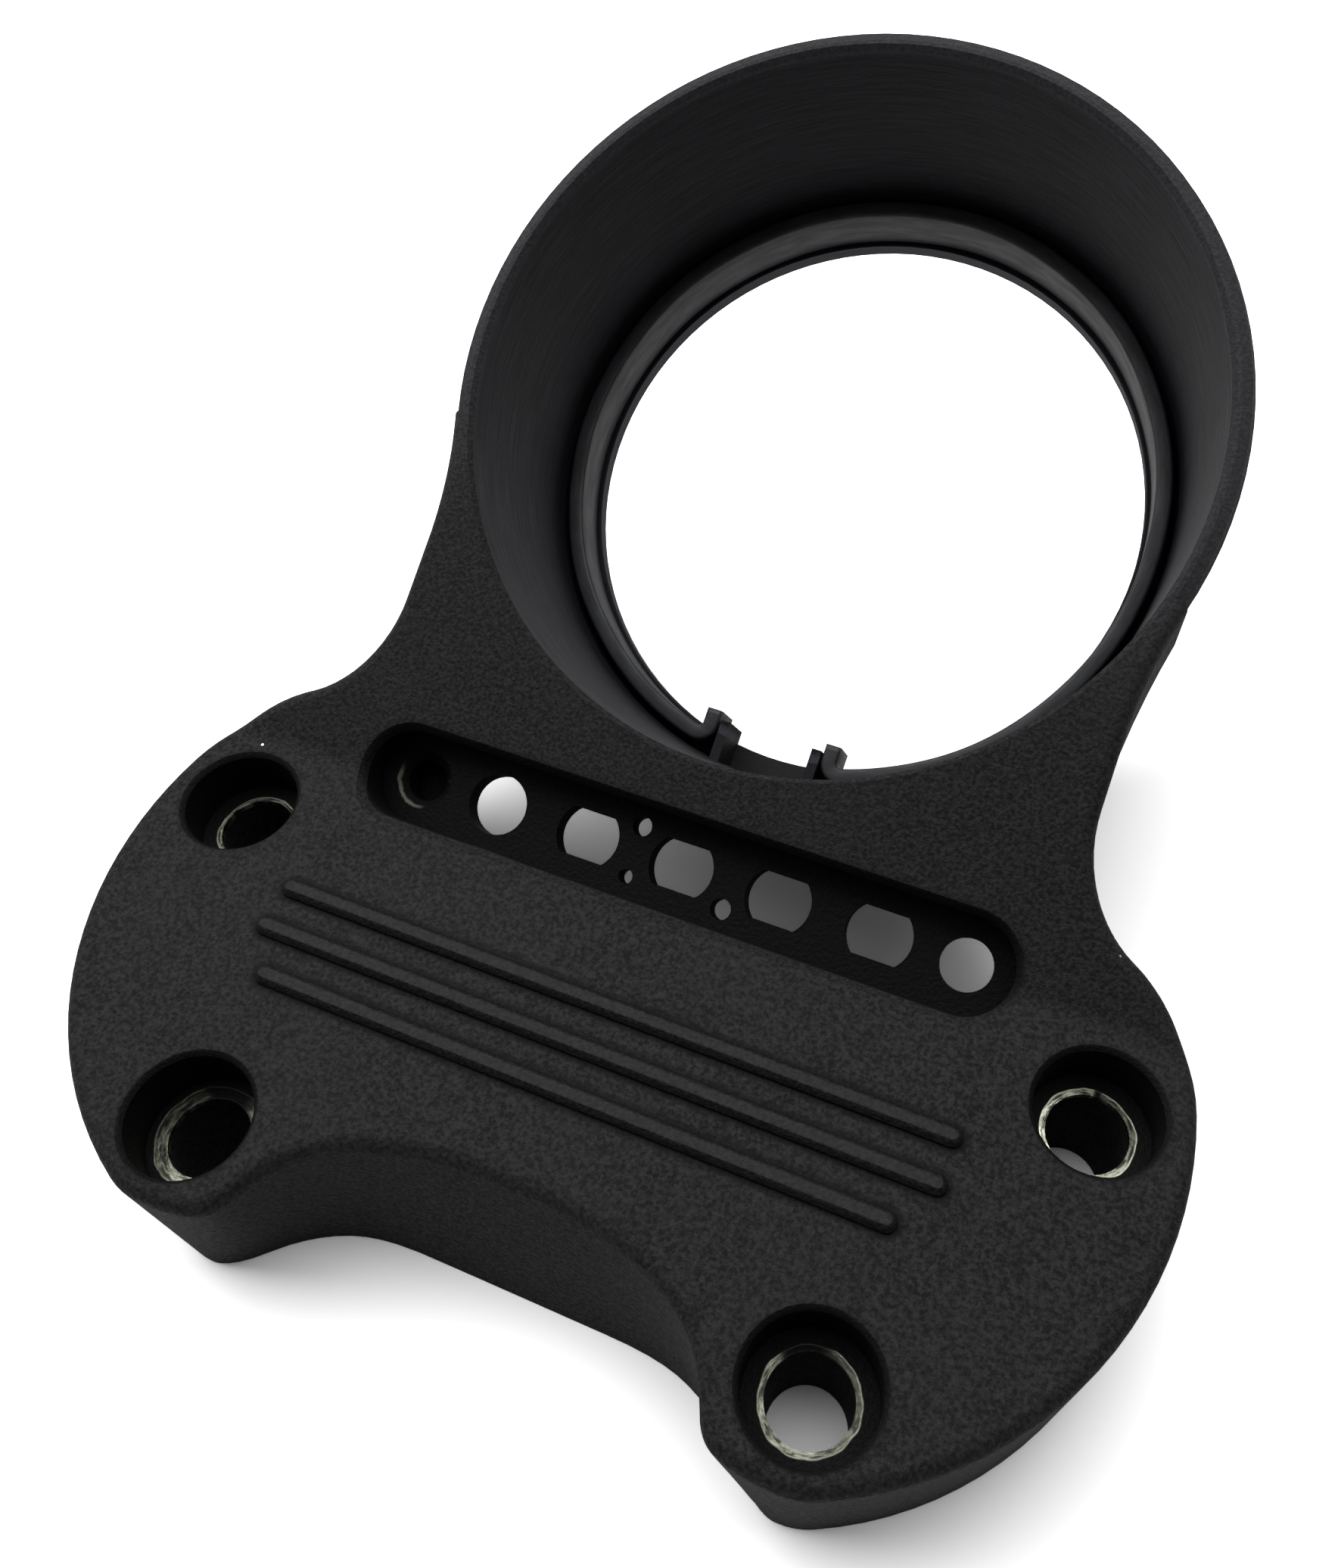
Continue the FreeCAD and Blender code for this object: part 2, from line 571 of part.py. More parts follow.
def along_edge(edge, count=5):
    first, last = edge.ParameterRange
    return [edge.valueAt(first + (last - first) * step / (count - 1)) for step in range(count)]


def slab_top(y):
    """Height of the bent top face above the underside."""
    start = number("dims.bend_reach - %s" % BEND_LENGTH)
    radius = number("dims.bend_radius")
    tilt = math.radians(number("dims.tilt_angle"))
    if y <= start:
        return number("dims.plate_height")
    if y < start + radius * math.sin(tilt):
        return number("dims.plate_height") + radius - math.sqrt(radius ** 2 - (y - start) ** 2)
    return number("dims.plate_height") + (y - number("dims.bend_reach")) * math.tan(tilt)


def on_slab_rim(edge):
    """True for an edge along the outside of the top face, not for one that crosses it."""
    points = along_edge(edge)
    if any(abs(point.z - slab_top(point.y)) > TOUCH for point in points):
        return False
    if abs(points[0].y - points[-1].y) > TOUCH:
        return True
    return points[0].y < number(SEAM_Y) - TOUCH


def in_tilted(point):
    """Point in the tilted face's frame: across, away from the bend, and above the face."""
    tilt = math.radians(number("dims.tilt_angle"))
    ahead = point.y - number("dims.bend_reach")
    above = point.z - number("dims.plate_height")
    return V(point.x, ahead * math.cos(tilt) + above * math.sin(tilt),
             above * math.cos(tilt) - ahead * math.sin(tilt))


def on_seat_mouth(edge):
    """True for the top edge of a counterbore."""
    points = along_edge(edge)
    if any(abs(point.z - number("dims.plate_height")) > TOUCH for point in points):
        return False
    return hasattr(edge.Curve, "Radius") and abs(edge.Curve.Radius - number("dims.seat_dia") / 2) < TOUCH


def on_slot_mouth(edge):
    """True for an edge of the slot's mouth, whichever face it lies on."""
    half = number("dims.screw_spacing") / 2
    radius = number("dims.slot_width") / 2
    for point in along_edge(edge):
        local = in_tilted(point)
        beyond = max(abs(local.x) - half, 0)
        away = math.hypot(beyond, local.y - number("dims.slot_reach"))
        if abs(away - radius) > TOUCH or abs(point.z - slab_top(point.y)) > TOUCH:
            return False
    return True


def on_tap_mouth(edge):
    """True for the top edge of the blind screw hole."""
    local = in_tilted(edge.valueAt(edge.FirstParameter))
    away = math.hypot(local.x - number(TAP_X), local.y - number("dims.slot_reach"))
    return (abs(local.z + number("dims.slot_depth")) < TOUCH
            and abs(away - number("dims.tap_dia") / 2) < TOUCH)


def on_rib_top(edge):
    level = number("dims.plate_height + dims.rib_rise")
    return all(abs(point.z - level) < TOUCH and point.y < 0 for point in along_edge(edge))


# Blank: plate and neck as one bent slab trimmed to the plan outline, then the lobed front.
blank = doc.addObject("PartDesign::Body", "blank")
slab_side = new_sketch(blank, "slab_side", "YZ_Plane")
draw_bent_slab(slab_side, "0", [(BACK_Y, "%s - dims.web_depth" % BACK_TOP), ("dims.web_start", "0"),
                                ("(%s - %d)" % (TIP_Y, MARGIN), "0")])
slab = pad(blank, "slab", slab_side, "2 * %s" % FRAME_X)
slab.SideType = "Symmetric"
trim_plan = new_sketch(blank, "trim_plan", "XY_Plane")
add_polygon(trim_plan, [(FRAME_X, FRAME_FRONT), (FRAME_X, FRAME_BACK), ("-%s" % FRAME_X, FRAME_BACK),
                        ("-%s" % FRAME_X, FRAME_FRONT)])
draw_wings(trim_plan, "0", SEAM_Y)
trim = pocket(blank, "trim", trim_plan, None, True)
front_foot = level_sketch(blank, "front_foot", "0")
draw_front(front_foot, "foot")
front_top = level_sketch(blank, "front_top", "dims.plate_height")
draw_front(front_top, "arch")
doc.recompute()
lobed_front = blank.newObject("PartDesign::AdditiveLoft", "lobed_front")
lobed_front.Profile = front_foot
lobed_front.Sections = [front_top]
lobed_front.Ruled = True
doc.recompute()
top_round = rounded(blank, "top_round", lobed_front, "dims.edge_round", on_slab_rim)

# Hollow: the same slab, lowered by the skin and drawn in by the wall, open at the bottom.
hollow = doc.addObject("PartDesign::Body", "hollow")
hollow_side = new_sketch(hollow, "hollow_side", "YZ_Plane")
draw_bent_slab(hollow_side, "dims.skin_gauge", [(BACK_Y, "-%d" % MARGIN),
                                                ("(%s - %d)" % (TIP_Y, MARGIN), "-%d" % MARGIN)])
hollow_slab = pad(hollow, "hollow_slab", hollow_side, "2 * %s" % FRAME_X)
hollow_slab.SideType = "Symmetric"
hollow_plan = level_sketch(hollow, "hollow_plan", "-2 * %d" % MARGIN)
add_polygon(hollow_plan, [(FRAME_X, FRAME_FRONT), (FRAME_X, FRAME_BACK), ("-%s" % FRAME_X, FRAME_BACK),
                          ("-%s" % FRAME_X, FRAME_FRONT)])
draw_wings(hollow_plan, "dims.wall_gauge", HOLLOW_Y)
pocket(hollow, "hollow_trim", hollow_plan, None, True)
shelled = blank.newObject("PartDesign::Boolean", "shelled")
shelled.Type = "Cut"
shelled.setObjects([hollow])
doc.recompute()

# Casting: the cup turned about its tilted axis, joined to the blank.
casting = doc.addObject("PartDesign::Body", "casting")
casting.Label = "bracket_casting"
cup_outside = axis_sketch(casting, "cup_outside")
draw_cup_outside(cup_outside)
cup = turned(casting, "Revolution", "cup", cup_outside)
joined = casting.newObject("PartDesign::Boolean", "joined")
joined.Type = "Fuse"
joined.setObjects([blank])
doc.recompute()

# Material added under the skin: bolt bosses, the tray of the lamp slot and the blind screw's boss.
boss_plan = level_sketch(casting, "boss_plan", "0")
for x in ("dims.rear_spacing / 2", "-dims.rear_spacing / 2"):
    add_circle(boss_plan, x, "0", "dims.boss_dia")
pad(casting, "bosses", boss_plan, "dims.plate_height - dims.skin_gauge / 2")
TRAY_RISE = "-(dims.slot_depth + dims.slot_floor)"
tray_plan = tilted_sketch(casting, "tray_plan", TRAY_RISE)
draw_slot(tray_plan, "dims.screw_spacing / 2", "dims.slot_width + 2 * dims.slot_floor", "dims.slot_reach")
pad(casting, "tray", tray_plan, "dims.slot_depth + dims.slot_floor - dims.tray_lap")
tap_plan = tilted_sketch(casting, "tap_plan", "-(dims.slot_depth + dims.tap_depth + dims.tap_end)")
add_circle(tap_plan, TAP_X, "dims.slot_reach", "dims.tap_boss_dia")
pad(casting, "tap_boss", tap_plan, "dims.tap_depth + dims.tap_end - dims.slot_floor / 2")

# Inside of the cup: tapered wall, ledge and lip, then the two lugs standing on the ledge.
cup_inside = axis_sketch(casting, "cup_inside")
draw_cup_inside(cup_inside)
turned(casting, "Groove", "cup_bore", cup_inside)
LUG_OUTER = "(dims.lug_gap / 2 + dims.lug_width)"
LUG_FAR = "(dims.rim_gap + %s - %s - dims.lug_root)" % (RIM_RADIUS, WALL_FOOT)
LUG_NEAR = "(%s - %s + dims.lug_stand)" % (CUP_REACH, LIP_RADIUS)
lug_plan = tilted_sketch(casting, "lug_plan", "-dims.lug_level")
for side in (1, -1):
    inner = signed(side, "(dims.lug_gap / 2)")
    outer = signed(side, LUG_OUTER)
    add_polygon(lug_plan, [(inner, LUG_FAR), (outer, LUG_FAR), (outer, LUG_NEAR), (inner, LUG_NEAR)])
pad(casting, "lugs", lug_plan, "dims.ledge_level + dims.lug_root - dims.lug_level", True)

# Bolt holes with counterbored seats.
BOLTS = [("dims.rear_spacing / 2", "0"), ("-dims.rear_spacing / 2", "0"),
         (FRONT_X, "-dims.row_gap"), ("-%s" % FRONT_X, "-dims.row_gap")]
seat_plan = level_sketch(casting, "seat_plan", "dims.plate_height")
hole_plan = level_sketch(casting, "hole_plan", "dims.plate_height")
for x, y in BOLTS:
    add_circle(seat_plan, x, y, "dims.seat_dia")
    add_circle(hole_plan, x, y, "dims.bolt_hole_dia")
pocket(casting, "seats", seat_plan, "dims.seat_depth")
bolt_holes = pocket(casting, "bolt_holes", hole_plan)
bevelled(casting, "seat_bevel", bolt_holes, "dims.seat_edge", on_seat_mouth)

# Lamp slot cut upwards from its floor, then the holes through the floor.
slot_plan = tilted_sketch(casting, "slot_plan", "-dims.slot_depth")
draw_slot(slot_plan, "dims.screw_spacing / 2", "dims.slot_width", "dims.slot_reach")
slot = pocket(casting, "slot", slot_plan, "dims.slot_depth + %d" % MARGIN, True)
bevelled(casting, "slot_bevel", slot, "dims.slot_edge", on_slot_mouth)
floor_plan = tilted_sketch(casting, "floor_plan", "-dims.slot_depth")
add_circle(floor_plan, "-2 * dims.lamp_pitch", "dims.slot_reach", "dims.round_lamp_dia")
for step in (-1, 0, 1, 2):
    draw_flatted_hole(floor_plan, "(%d * dims.lamp_pitch)" % step, "dims.slot_reach", "dims.lamp_dia",
                      "dims.lamp_flats")
add_circle(floor_plan, "dims.screw_spacing / 2", "dims.slot_reach", "dims.screw_dia")
PIN_X = "(dims.lamp_pitch / 2)"
add_circle(floor_plan, "-%s" % PIN_X, "dims.slot_reach + dims.pin_offset", "dims.pin_upper_dia")
add_circle(floor_plan, "-%s" % PIN_X, "dims.slot_reach - dims.pin_offset", "dims.pin_left_dia")
add_circle(floor_plan, PIN_X, "dims.slot_reach - dims.pin_offset", "dims.pin_right_dia")
pocket(casting, "floor_holes", floor_plan, "2 * dims.slot_floor")
tap_hole_plan = tilted_sketch(casting, "tap_hole_plan", "-dims.slot_depth")
add_circle(tap_hole_plan, TAP_X, "dims.slot_reach", "dims.tap_dia")
tap_hole = pocket(casting, "tap_hole", tap_hole_plan, "dims.tap_depth")
bevelled(casting, "tap_mouth", tap_hole, "(dims.tap_mouth_dia - dims.tap_dia) / 2", on_tap_mouth)

# Three raised ribs on the plate.
rib_plan = level_sketch(casting, "rib_plan", "dims.plate_height")
for step, length in enumerate(("dims.rib_length", "dims.rib_length", "dims.rib_short_length")):
    draw_slot(rib_plan, "(%s - dims.rib_width) / 2" % length, "dims.rib_width",
              "(-dims.rib_start - %d * dims.rib_pitch)" % step)
ribs = pad(casting, "ribs", rib_plan, "dims.rib_rise")
bevelled(casting, "rib_bevel", ribs, "dims.rib_edge", on_rib_top)

# Gasket: a strip standing on the ledge, open between the lugs, with both ends turned in along them.
gasket = doc.addObject("PartDesign::Body", "gasket")
gasket.Label = "gauge_gasket"
strip_section = axis_sketch(gasket, "strip_section")
STRIP_OUT = "(%s - dims.gasket_slack)" % WALL_FOOT
STRIP_IN = "(%s - dims.gasket_gauge)" % STRIP_OUT
add_polygon(strip_section, [(STRIP_IN, "-dims.lug_level"), (STRIP_IN, "-dims.ledge_level"),
                            (STRIP_OUT, "-dims.ledge_level"), (STRIP_OUT, "-dims.lug_level")])
turned(gasket, "Revolution", "strip", strip_section)
END_INNER = "(%s + dims.gasket_gap)" % LUG_OUTER
END_OUTER = "(%s + dims.gasket_gauge)" % END_INNER
break_plan = tilted_sketch(gasket, "break_plan", "-dims.lug_level")
BREAK_FAR = "(%s - dims.mouth_dia / 2)" % CUP_REACH
BREAK_NEAR = "(%s - %s / 2)" % (CUP_REACH, LIP_RADIUS)
add_polygon(break_plan, [("-%s" % END_INNER, BREAK_FAR), (END_INNER, BREAK_FAR), (END_INNER, BREAK_NEAR),
                         ("-%s" % END_INNER, BREAK_NEAR)])
pocket(gasket, "strip_break", break_plan, "dims.cup_depth")
END_FAR = "(%s - sqrt(%s^2 - %s^2))" % (CUP_REACH, STRIP_OUT, END_OUTER)
END_NEAR = "(%s + dims.gasket_end)" % LUG_NEAR
end_plan = tilted_sketch(gasket, "end_plan", "-dims.lug_level")
for side in (1, -1):
    inner = signed(side, END_INNER)
    outer = signed(side, END_OUTER)
    add_polygon(end_plan, [(inner, END_FAR), (outer, END_FAR), (outer, END_NEAR), (inner, END_NEAR)])
turned_ends = pad(gasket, "turned_ends", end_plan, "dims.ledge_level - dims.lug_level", True)

doc.recompute()
NODES = [casting, gasket]
for obj in doc.Objects:
    if "Invalid" in obj.State or "Error" in obj.State:
        raise RuntimeError("%s did not build: %s" % (obj.Name, obj.State))
for node in NODES:
    if node.Shape.isNull() or not node.Shape.isValid() or len(node.Shape.Solids) != 1:
        raise RuntimeError("%s has no sound single solid" % node.Label)
os.makedirs("parts", exist_ok=True)
for node in NODES:
    node.Shape.exportStep("parts/%s.step" % node.Label)
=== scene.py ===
import math

import bmesh
import bpy
from mathutils import Matrix, Vector


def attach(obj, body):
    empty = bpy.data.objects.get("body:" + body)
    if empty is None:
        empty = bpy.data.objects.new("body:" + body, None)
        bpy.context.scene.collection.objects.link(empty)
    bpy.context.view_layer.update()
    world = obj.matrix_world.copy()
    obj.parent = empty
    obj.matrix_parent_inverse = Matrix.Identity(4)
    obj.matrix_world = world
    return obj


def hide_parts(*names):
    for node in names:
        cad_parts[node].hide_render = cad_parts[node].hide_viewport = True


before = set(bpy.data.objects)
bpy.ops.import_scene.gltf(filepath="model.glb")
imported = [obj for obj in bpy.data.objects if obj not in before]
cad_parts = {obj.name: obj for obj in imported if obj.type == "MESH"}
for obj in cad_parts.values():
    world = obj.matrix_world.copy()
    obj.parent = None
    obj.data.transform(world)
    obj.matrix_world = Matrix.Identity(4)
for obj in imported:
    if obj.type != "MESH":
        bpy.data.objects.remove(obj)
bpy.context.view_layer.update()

MM = 0.001

# Sizes shared with the solids, in millimetres
TILT = math.radians(29.3)
PLATE_TOP = 22.0
BEND_Y = 8.65
RIM_Y = 57.70
RIM_Z = 49.53
SEAT_LEVEL = 15.6
SEAT_RADIUS = 6.4
BOLT_RADIUS = 4.2
MOUTH_RADIUS = 42.85
LIP_RADIUS = 37.3
LEDGE_DEPTH = 33.2
GASKET_TOP = 26.2
GASKET_MIDDLE = 38.9
GASKET_GAUGE = 2.1
GASKET_END_X = 8.3
GASKET_END_REACH = 33.95
SLOT_REACH = 1.43
SLOT_DEPTH = 4.5
SLOT_HALF = 5.3
TAP_X = -33.35
TAP_MOUTH_RADIUS = 3.4
RIB_HALF = 1.1

# Directions and origins of the tilted cup and neck
CUP_AXIS = Vector((0, -math.sin(TILT), math.cos(TILT)))
CUP_UP = Vector((0, math.cos(TILT), math.sin(TILT)))
RIM_CENTRE = Vector((0, RIM_Y, RIM_Z)) * MM
BEND_MIDDLE = Vector((0, BEND_Y, PLATE_TOP)) * MM

# Bolt axis, outer radius of the bare ring, the coated gap in it (middle turn from +Y and half width), shine as a
# painted highlight, and the turn where that painted highlight is weakest
SEATS = (
    ((-50.0, 0.0), 4.74, 1.35, 0.80, 0.74, 1.3),
    ((50.0, 0.0), 4.90, 0.02, 0.06, 1.00, 1.1),
    ((-32.75, -33.7), 5.60, -0.15, 0.50, 0.42, 0.0),
    ((32.75, -33.7), 4.86, -0.45, 0.48, 0.42, 0.6),
)

# Each rib's place along Y and half its length
RIBS = ((-7.92, 38.6), (-12.92, 38.6), (-17.92, 35.3))

# Small places where the coat is chipped to the metal: position and radius
CHIPS = (
    ((47.85, 15.25, 25.7), 0.34),
    ((-42.87, 0.28, 21.8), 0.22),
    ((-52.15, 7.67, 22.0), 0.20),
    ((-30.69, 12.73, 19.1), 0.45),
)

# How the bare rings look: noise that moves their edges (millimetres) and gaps (radians), the width and softness of
# the fine line at the edge, and shares of brightness
RING_UNEVEN = 0.6
RING_SOFT = 0.08
LINE_WIDTH = 0.18
LINE_SOFT = 0.06
LINE_IN_GAP = 0.45
LINE_SHINE = 0.6
GAP_UNEVEN = 0.5
GAP_SOFT = 0.05
GAP_SOFT_SHARE = 0.2
STREAK_LOW = 0.03
# Share of the painted highlight left on the dim side of a ring
WEAKEST_HIGHLIGHT = 0.22
SEAT_NOISE_SHIFT = 7.0

# Soft limits of the marks in millimetres, or in radians for a turn, each from where it is 0 to where it is 1
# Painted shade inside the counterbores, fading in over their mouths
PIT_OUTER = (SEAT_RADIUS + 1.1, SEAT_RADIUS + 0.35)
PIT_INNER = (BOLT_RADIUS + 0.05, BOLT_RADIUS + 0.20)
PIT_LEVEL = (PLATE_TOP + 0.35, PLATE_TOP - 0.45)
# Painted shade inside the lamp slot
SLOT_EDGE = (SLOT_HALF + 1.7, SLOT_HALF + 0.3)
SLOT_LEVEL = (-1.2, 0.8)
TAP_SIDE = (-1.5, -3.5)
# Painted highlight on the rib crests and painted shade at their feet
RIB_LEVEL = (PLATE_TOP - 0.4, PLATE_TOP - 0.2)
RIB_CREST = (0.70, 0.30)
WALL_OUTER = (MOUTH_RADIUS + 0.15, MOUTH_RADIUS - 0.05)
WALL_INNER = (LIP_RADIUS - 1.3, LIP_RADIUS - 0.5)
WALL_TOP = (0.3, 1.0)
WALL_BOTTOM = (LEDGE_DEPTH + 3.0, LEDGE_DEPTH + 1.5)
# Painted light on the lip
LIP_EDGE = (LIP_RADIUS + 0.25, LIP_RADIUS + 0.10)
# Painted light over the shaded near wall between the lugs
SILL_TURN = (2.74, 2.92)
SILL_DEPTH = (LEDGE_DEPTH - 3.5, LEDGE_DEPTH - 0.8)
LAND_RADIUS = (MOUTH_RADIUS - 0.40, MOUTH_RADIUS)
LAND_DEPTH = (1.6, 0.5)
LAND_TURN = (2.25, 1.55)

# Bands of marks: low limit, high limit and softness, in millimetres
SEAT_BAND = (SEAT_LEVEL - 0.7, SEAT_LEVEL + 0.12, 0.05)
TAP_BAND = (TAP_MOUTH_RADIUS - 0.05, TAP_MOUTH_RADIUS + 0.35, 0.12)
TAP_DEPTH = (SLOT_DEPTH - 0.2, SLOT_DEPTH + 1.0, 0.1)
RIB_FOOT = (0.78, 1.70, 0.30)

# Chips and the worn countersink: noise on their edges, and where a chip starts and is full in shares of its radius
CHIP_RAGGED = 0.5
CHIP_EDGE = (1.3, 1.1)
TAP_RAGGED = 0.5

# Noise scales: per metre for those placed in the object, per millimetre for those that run round an axis
WRINKLE_SCALE = 2300.0
RAGGED_SCALE = 1100.0
UNEVEN_SCALE = 420.0
TONE_SCALE = 60.0
SPECK_SCALE = 1600.0
PAPER_SCALE = 260.0
TURNED_SCALE = 2.6
STREAK_SCALE = 2.6
GASKET_STREAK_SCALE = 0.9

# Millimetres of noise for each radian of turn, smaller than the radius so that the marks run round the axis
TURNED_STRETCH = 1.6
GASKET_STRETCH = 9.0

# Ranges of noise that are spread from 0 to 1
NOISE_RANGE = (0.3, 0.7)
WRINKLE_RANGE = (0.36, 0.66)
TURNED_RANGE = (0.35, 0.7)
STREAK_RANGE = (0.44, 0.60)
GASKET_RANGE = (0.35, 0.68)

# How strongly a mark shows
WORN_SHARE = 0.5
CREST_HIGHLIGHT_SHARE = 0.6
FOOT_SHADE_SHARE = 0.75

# Colours
COAT_DARK = (0.0068, 0.0066, 0.0066, 1)
COAT_LIGHT = (0.0100, 0.0098, 0.0098, 1)
WRINKLE_TOP = (0.0255, 0.0251, 0.0252, 1)
# Painted highlight on the rib crests
RIB_CREST_HIGHLIGHT = (0.031, 0.0305, 0.0307, 1)
# Painted shade for the counterbores, the lamp slot and the feet of the ribs
PAINTED_SHADE_BLACK = (0.0038, 0.0038, 0.0038, 1)
TURNED_DARK = (0.0132, 0.0134, 0.0160, 1)
TURNED_LIGHT = (0.0210, 0.0214, 0.0262, 1)
# Lighter bluish grey on the lip is painted light
LIP_PAINTED_LIGHT = (0.048, 0.049, 0.060, 1)
# Painted light over the shaded near wall between the lugs
SILL_PAINTED_LIGHT = (0.030, 0.030, 0.031, 1)
LAND_DARK = (0.0310, 0.0300, 0.0335, 1)
LAND_LIGHT = (0.0450, 0.0436, 0.0485, 1)
# Bare metal from dull to bright; on the seats its brightness is also painted highlight
METAL_DULL = (0.022, 0.023, 0.020, 1)
METAL_BRIGHT = (0.62, 0.645, 0.50, 1)
RUBBER_DARK = (0.017, 0.0175, 0.0205, 1)
RUBBER_LIGHT = (0.033, 0.0345, 0.041, 1)
PAPER_DARK = (0.87, 0.87, 0.87, 1)
PAPER_LIGHT = (0.91, 0.91, 0.91, 1)
PAPER_IN_PICTURE = (2.1, 2.1, 2.1, 1)

# Roughness at the low and the high end of the noise
COAT_ROUGH = (0.74, 0.60)
TURNED_ROUGH = (0.62, 0.50)
METAL_ROUGH = (0.30, 0.52)
RUBBER_ROUGH = (0.60, 0.44)

# Surface relief in metres with its strength, and specular levels
COAT_RELIEF = (0.00030, 0.5)
RUBBER_RELIEF = (0.00012, 0.35)
COAT_SPECULAR = 0.12
RUBBER_SPECULAR = 0.5

# The gasket's own roundings, clearances and numbers of points, with sizes in millimetres
GASKET_CORNER = 1.6
GASKET_ROUNDING = 0.45
GASKET_CLEARANCE = 0.05
GASKET_LIFT = 0.02
END_POINTS = 3
CORNER_STEPS = 6
RING_STEPS = 180
ROUND_POINTS = 4

# Slight waves of the gasket, sideways and upwards: height in millimetres, waves in a turn and start in radians
SIDE_WAVES = ((0.05, 3, 0.6), (0.04, 11, 0.0))
RISE_WAVES = ((0.05, 5, 1.1),)

# Room, in metres: the floor's half side and drop, where its far glow starts and is full, its glow near the part,
# and the strength of the world's light
FLOOR_HALF = 2.5
FLOOR_DROP = 0.0001
FAR_GLOW = (0.35, 0.90)
NEAR_GLOW = 0.018
WORLD_LIGHT = 0.13

# Name, place, target and size in metres, power in watts
LIGHTS = (
    ("overhead", (-0.14, 0.46, 1.0), (0, 0.03, 0), (1.6, 1.2), 14.0),
    ("left_window", (-0.88, 0.16, 0.70), (0, 0.03, 0.02), (1.0, 0.8), 5.0),
)

# Camera fitted to the photograph
CAMERA_LENS = 29.72
CAMERA_SENSOR = 36.0
CAMERA_SHIFT = (-0.0432, 0.0022)
CAMERA_NEAR = 0.005
CAMERA_PLACE = Matrix((
    (0.92469, -0.29933, 0.23526, 0.03771),
    (0.38013, 0.76027, -0.52677, -0.05565),
    (-0.02119, 0.57653, 0.8168, 0.14335),
    (0, 0, 0, 1),
))

# A distance in millimetres that is beyond every mark
FAR_AWAY = 99.0


class Graph:
    """Adds nodes to a material and joins their sockets."""

    def __init__(self, name):
        self.material = bpy.data.materials.new(name)
        self.material.use_nodes = True
        self.tree = self.material.node_tree
        self.tree.nodes.clear()

    def node(self, kind, inputs=None, **settings):
        made = self.tree.nodes.new("ShaderNode" + kind)
        for name, value in settings.items():
            setattr(made, name, value)
        for name, value in (inputs or {}).items():
            self.feed(made.inputs[name], value)
        return made

    def feed(self, socket, value):
        if isinstance(value, bpy.types.NodeSocket):
            self.tree.links.new(value, socket)
        else:
            socket.default_value = value

    def math(self, operation, *values):
        return self.node("Math", dict(enumerate(values)), operation=operation).outputs[0]

    def product(self, first, *others):
        for other in others:
            first = self.math("MULTIPLY", first, other)
        return first

    def largest(self, first, *others):
        for other in others:
            first = self.math("MAXIMUM", first, other)
        return first

    def millimetres(self, metres, less=0.0):
        """A length in millimetres, less a fixed number of them."""
        return self.math("MULTIPLY_ADD", metres, 1 / MM, -less)

    def length(self, a, b):
        return self.math("SQRT", self.math("MULTIPLY_ADD", a, a, self.math("MULTIPLY", b, b)))

    def step(self, value, start, end):
        """0 at start and 1 at end, smooth between them."""
        inputs = {"Value": value, "From Min": start, "From Max": end}
        return self.node("MapRange", inputs, interpolation_type="SMOOTHSTEP").outputs[0]

    def ramp(self, value, start, end, low, high):
        """low at start and high at end, straight between them."""
        inputs = {"Value": value, "From Min": start, "From Max": end, "To Min": low, "To Max": high}
        return self.node("MapRange", inputs).outputs[0]

    def band(self, value, low, high, soft):
        """1 between low and high, with soft limits, and 0 outside."""
        rise = self.step(value, low - soft, low + soft)
        fall = self.step(value, high + soft, high - soft)
        return self.math("MULTIPLY", rise, fall)

    def vector(self, operation, a, b):
        made = self.node("VectorMath", {0: a, 1: b}, operation=operation)
        return made.outputs["Value" if operation in ("DOT_PRODUCT", "DISTANCE") else "Vector"]

    def join(self, x, y, z=0.0):
        return self.node("CombineXYZ", {0: x, 1: y, 2: z}).outputs[0]

    def split(self, place):
        return self.node("SeparateXYZ", {0: place}).outputs

    def noise(self, place, scale, detail=2.0, roughness=0.5):
        inputs = {"Vector": place, "Scale": scale, "Detail": detail, "Roughness": roughness}
        return self.node("TexNoise", inputs).outputs[0]

    def blend(self, share, a, b):
        """Colour a where share is 0 and b where it is 1."""
        return self.node("Mix", {0: share, 6: a, 7: b}, data_type="RGBA").outputs[2]

    def shade(self, share, a, b):
        """Number a where share is 0 and b where it is 1."""
        return self.node("Mix", {0: share, 2: a, 3: b}, data_type="FLOAT").outputs[0]

    def bump(self, height, distance, strength):
        inputs = {"Height": height, "Distance": distance, "Strength": strength}
        return self.node("Bump", inputs).outputs[0]

    def finish(self, shader):
        output = self.node("OutputMaterial")
        self.tree.links.new(shader, output.inputs["Surface"])
        return self.material


def tilted_place(graph, place, origin):
    """Millimetres from the origin across the part, up along the tilted face and down into it."""
    offset = graph.vector("SUBTRACT", place, origin)
    across = graph.millimetres(graph.split(offset)[0])
    along = graph.millimetres(graph.vector("DOT_PRODUCT", offset, CUP_UP))
    depth = graph.math("MULTIPLY", graph.vector("DOT_PRODUCT", offset, CUP_AXIS), -1 / MM)
    return across, along, depth


def cup_place(graph, place):
    """Radius, depth and turn about the cup's axis, in millimetres and radians."""
    across, along, depth = tilted_place(graph, place, RIM_CENTRE)
    return graph.length(across, along), depth, graph.math("ARCTAN2", across, along)


